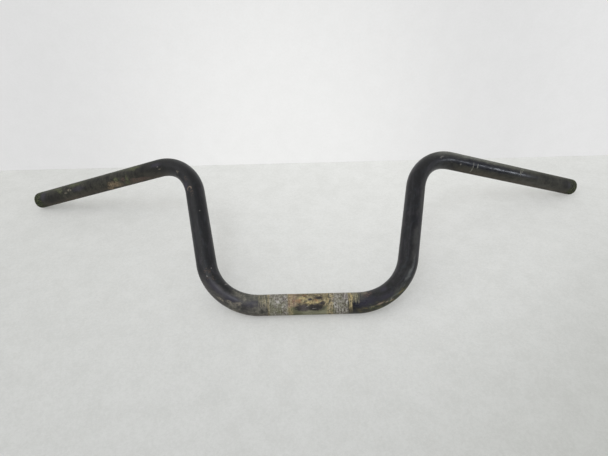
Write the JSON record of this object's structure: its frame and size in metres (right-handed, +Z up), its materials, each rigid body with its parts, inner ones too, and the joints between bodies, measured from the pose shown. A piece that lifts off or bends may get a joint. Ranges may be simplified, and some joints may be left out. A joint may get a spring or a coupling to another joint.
{
  "type": "handlebar",
  "caption": "Bent steel motorcycle handlebar with a high rise, swept-back grip ends, knurled clamp seats and closed tube ends.",
  "frame": {"origin": "on the tube's axis at the middle of the clamp section", "axes": "+X along the clamp section to the right, +Z up with the bar lying on its back on level ground, +Y from the clamp section towards the risers and grips"},
  "size_m": [0.7728, 0.2507, 0.1021],
  "materials": {
    "black_paint": "worn satin black enamel, bare knurled steel and rust at the clamp seats",
    "plug_rubber": "dull, dusty"
  },
  "bodies": {
    "root": {"bar_tube": "black_paint", "end_plug_left": "plug_rubber", "end_plug_right": "plug_rubber"}
  },
  "joints": []
}
